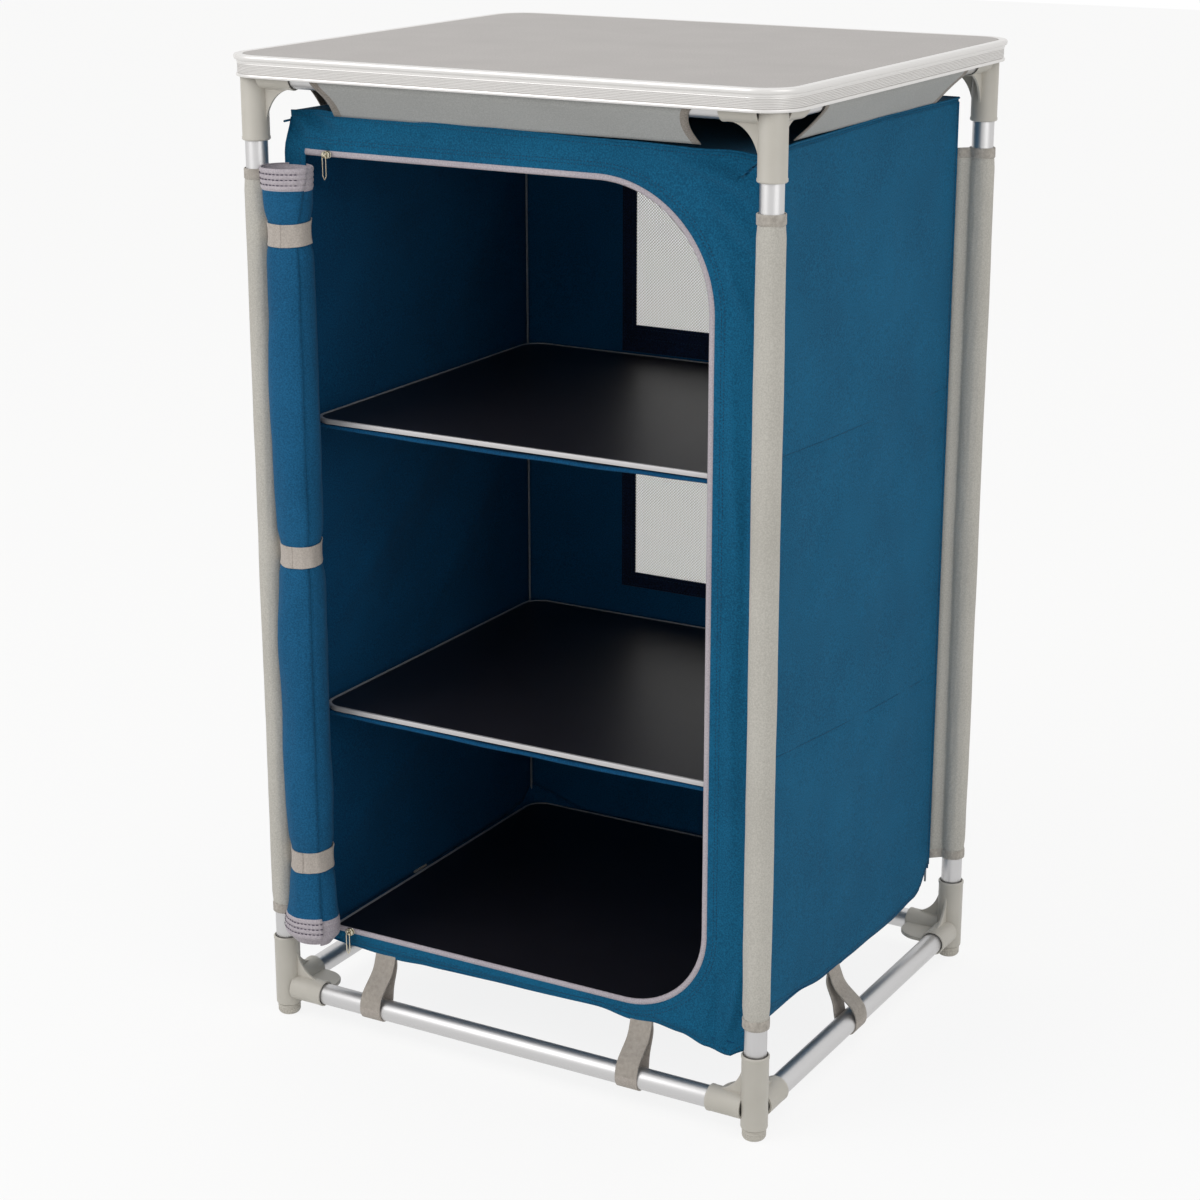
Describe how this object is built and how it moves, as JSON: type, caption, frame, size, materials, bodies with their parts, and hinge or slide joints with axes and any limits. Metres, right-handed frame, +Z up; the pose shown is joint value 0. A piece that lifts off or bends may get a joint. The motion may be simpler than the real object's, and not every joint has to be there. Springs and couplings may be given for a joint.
{
  "type": "folding camping kitchen cupboard",
  "caption": "Free-standing camping kitchen cupboard: tube frame with moulded corners, laminate top and a zipped cloth cabinet with hung shelves and mesh windows.",
  "frame": {"origin": "on the ground, under the middle of the tabletop", "axes": "+Z up, the open front faces -Y, +X to the right of someone facing the front"},
  "size_m": [0.6, 0.53, 1],
  "materials": {
    "laminate": "speckled warm grey laminate, satin",
    "aluminium": "satin anodised",
    "plastic": "moulded warm grey, fine satin",
    "blue_cloth": "plain woven polyester",
    "grey_cloth": "plain woven polyester",
    "webbing": "ribbed webbing",
    "zip_tape": "smooth coil zip and binding",
    "net": "open knitted net",
    "board": "black foiled board, satin",
    "zip_metal": "nickel plate"
  },
  "bodies": {
    "frame_and_cabinet": {"base_corner_front_left": "plastic", "base_corner_front_right": "plastic", "base_corner_rear_left": "plastic", "base_corner_rear_right": "plastic", "base_rail_front": "aluminium", "base_rail_left": "aluminium", "base_rail_rear": "aluminium", "base_rail_right": "aluminium", "cabinet_back": "blue_cloth", "cabinet_floor": "blue_cloth", "cabinet_front": "blue_cloth", "cabinet_left": "blue_cloth", "cabinet_right": "blue_cloth", "cabinet_roof": "blue_cloth", "door_zip_tape": "zip_tape", "leg_front_left": "aluminium", "leg_front_right": "aluminium", "leg_rear_left": "aluminium", "leg_rear_right": "aluminium", "leg_sleeve_front_left": "grey_cloth", "leg_sleeve_front_right": "grey_cloth", "leg_sleeve_rear_left": "grey_cloth", "leg_sleeve_rear_right": "grey_cloth", "shelf_sling_middle": "blue_cloth", "shelf_sling_upper": "blue_cloth", "strap_front_left": "webbing", "strap_front_right": "webbing", "strap_side_left": "webbing", "strap_side_right": "webbing", "top_corner_front_left": "plastic", "top_corner_front_right": "plastic", "top_corner_rear_left": "plastic", "top_corner_rear_right": "plastic", "top_flap_front": "grey_cloth", "top_flap_left": "grey_cloth", "top_flap_rear": "grey_cloth", "top_flap_right": "grey_cloth", "top_rail_front": "aluminium", "top_rail_left": "aluminium", "top_rail_rear": "aluminium", "top_rail_right": "aluminium", "window_net_lower": "net", "window_net_upper": "net"},
    "tabletop": {"tabletop_panel": "laminate", "tabletop_rim": "aluminium"},
    "board_upper": {"shelf_board_upper": "board"},
    "board_middle": {"shelf_board_middle": "board"},
    "board_floor": {"shelf_board_floor": "board"},
    "foot_front_left": {"foot_front_left": "plastic"},
    "foot_front_right": {"foot_front_right": "plastic"},
    "foot_rear_right": {"foot_rear_right": "plastic"},
    "foot_rear_left": {"foot_rear_left": "plastic"},
    "slider_top": {"zip_slider_top": "zip_metal"},
    "pull_top": {"zip_pull_top": "zip_metal"},
    "slider_base": {"zip_slider_base": "zip_metal"},
    "pull_base": {"zip_pull_base": "zip_metal"},
    "door": {"door_roll": "blue_cloth", "door_tie_top": "webbing", "door_tie_middle": "webbing", "door_tie_base": "webbing"}
  },
  "joints": [
    {"name": "tabletop_lift", "type": "slide", "parent": "frame_and_cabinet", "child": "tabletop", "axis": [0, 0, 1], "range_m": [0, 0.06]},
    {"name": "board_upper_lift", "type": "slide", "parent": "frame_and_cabinet", "child": "board_upper", "axis": [0, 0, 1], "range_m": [0, 0.04]},
    {"name": "board_middle_lift", "type": "slide", "parent": "frame_and_cabinet", "child": "board_middle", "axis": [0, 0, 1], "range_m": [0, 0.04]},
    {"name": "board_floor_lift", "type": "slide", "parent": "frame_and_cabinet", "child": "board_floor", "axis": [0, 0, 1], "range_m": [0, 0.04]},
    {"name": "foot_front_left_screw", "type": "slide", "parent": "frame_and_cabinet", "child": "foot_front_left", "axis": [0, 0, -1], "range_m": [0, 0.008]},
    {"name": "foot_front_right_screw", "type": "slide", "parent": "frame_and_cabinet", "child": "foot_front_right", "axis": [0, 0, -1], "range_m": [0, 0.008]},
    {"name": "foot_rear_right_screw", "type": "slide", "parent": "frame_and_cabinet", "child": "foot_rear_right", "axis": [0, 0, -1], "range_m": [0, 0.008]},
    {"name": "foot_rear_left_screw", "type": "slide", "parent": "frame_and_cabinet", "child": "foot_rear_left", "axis": [0, 0, -1], "range_m": [0, 0.008]},
    {"name": "zip_top_travel", "type": "slide", "parent": "frame_and_cabinet", "child": "slider_top", "axis": [1, 0, 0], "range_m": [0, 0.29]},
    {"name": "zip_top_pull_swing", "type": "hinge", "parent": "slider_top", "child": "pull_top", "pos_m": [-0.205, -0.2283, 0.9061], "axis": [1, 0, 0], "range_deg": [-150, 0]},
    {"name": "zip_base_travel", "type": "slide", "parent": "frame_and_cabinet", "child": "slider_base", "axis": [1, 0, 0], "range_m": [0, 0.32]},
    {"name": "zip_base_pull_swing", "type": "hinge", "parent": "slider_base", "child": "pull_base", "pos_m": [-0.205, -0.2283, 0.1001], "axis": [1, 0, 0], "range_deg": [-150, 0]},
    {"name": "door_swing", "type": "hinge", "parent": "frame_and_cabinet", "child": "door", "pos_m": [-0.232, -0.2213, 0.5], "axis": [0, 0, 1], "range_deg": [0, 25]}
  ]
}
